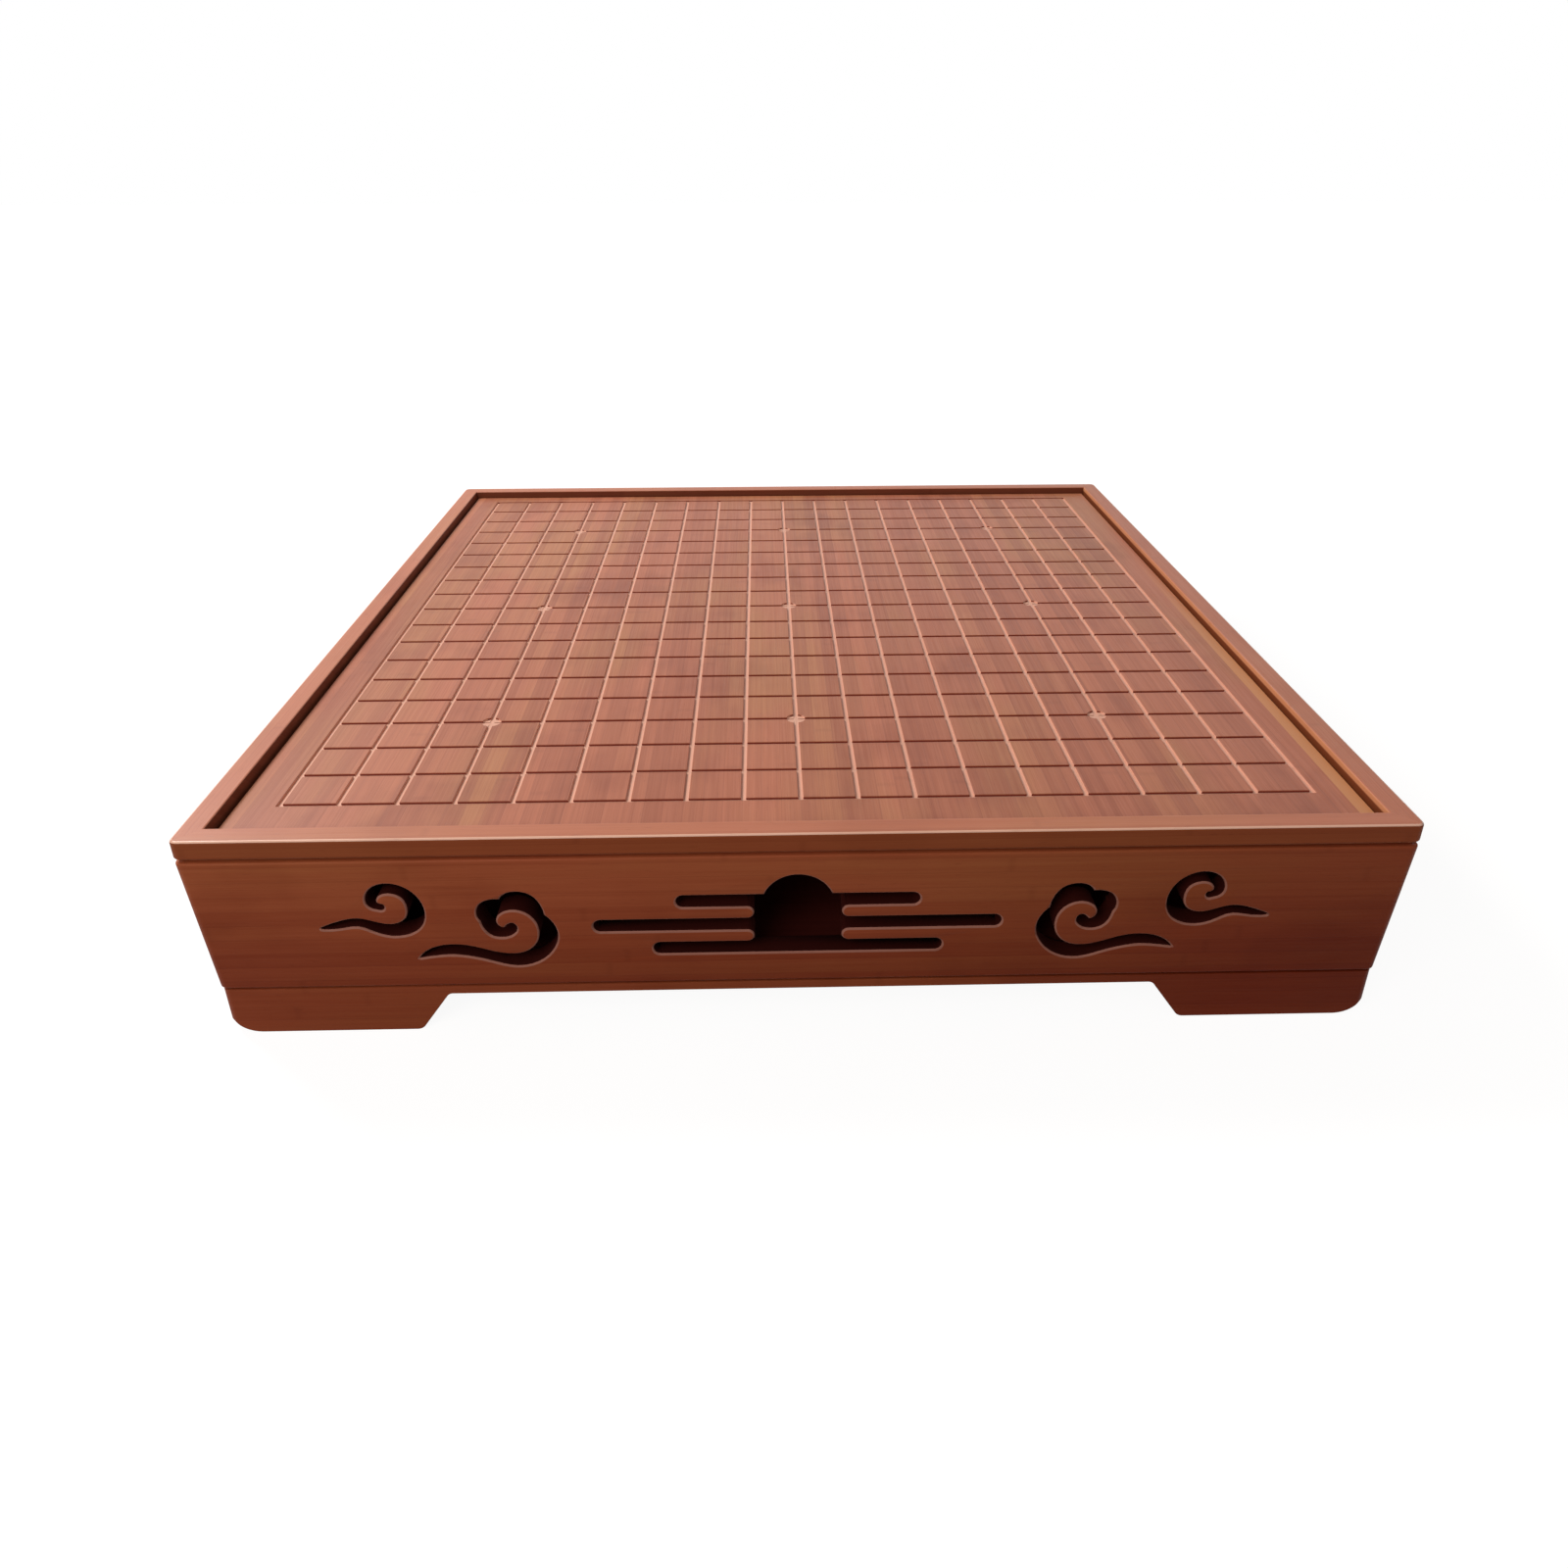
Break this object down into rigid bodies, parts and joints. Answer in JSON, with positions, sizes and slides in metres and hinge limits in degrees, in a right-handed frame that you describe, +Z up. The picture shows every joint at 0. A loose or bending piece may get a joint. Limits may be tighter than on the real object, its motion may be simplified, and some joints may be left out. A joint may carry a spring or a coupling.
{
  "type": "go board with storage box",
  "caption": "Square go board with a recessed lift-out playing panel in a lift-off rim lid, over a low storage box with leaning walls, a carved front and corner feet.",
  "frame": {"origin": "on the ground, under the middle of the board", "axes": "+Z up, -Y towards the carved front, +X to the right seen from the front"},
  "size_m": [0.471, 0.489, 0.0932],
  "materials": {
    "bamboo_panel": "semi-gloss lacquer on carbonised bamboo, strips running front to back",
    "bamboo_rim": "semi-gloss lacquer on carbonised bamboo, grain along each rail",
    "bamboo_wall": "satin lacquer on carbonised bamboo, grain along each wall",
    "bamboo_base": "satin lacquer on carbonised bamboo, grain along each rail",
    "bamboo_inside": "bamboo stained dark brown, matt",
    "spline": "plain bamboo spline"
  },
  "bodies": {
    "box": {"front_wall": "bamboo_wall", "back_wall": "bamboo_wall", "left_wall": "bamboo_wall", "right_wall": "bamboo_wall", "floor_panel": "bamboo_inside", "storage_divider": "bamboo_inside", "base_front_rail": "bamboo_base", "base_back_rail": "bamboo_base", "base_left_rail": "bamboo_base", "base_right_rail": "bamboo_base", "base_block_front_left": "bamboo_inside", "base_block_front_right": "bamboo_inside", "base_block_back_left": "bamboo_inside", "base_block_back_right": "bamboo_inside", "wall_splines": "spline"},
    "lid": {"lid_front_rail": "bamboo_rim", "lid_back_rail": "bamboo_rim", "lid_left_rail": "bamboo_rim", "lid_right_rail": "bamboo_rim", "lid_front_batten": "bamboo_inside", "lid_back_batten": "bamboo_inside", "lid_left_batten": "bamboo_inside", "lid_right_batten": "bamboo_inside", "lid_cross_bar_left": "bamboo_inside", "lid_cross_bar_right": "bamboo_inside", "lid_splines": "spline"},
    "panel": {"playing_panel": "bamboo_panel"}
  },
  "joints": [
    {"name": "lid_lift", "type": "slide", "parent": "box", "child": "lid", "axis": [0, 0, 1], "range_m": [0, 0.15]},
    {"name": "panel_lift", "type": "slide", "parent": "lid", "child": "panel", "axis": [0, 0, 1], "range_m": [0, 0.06]}
  ]
}
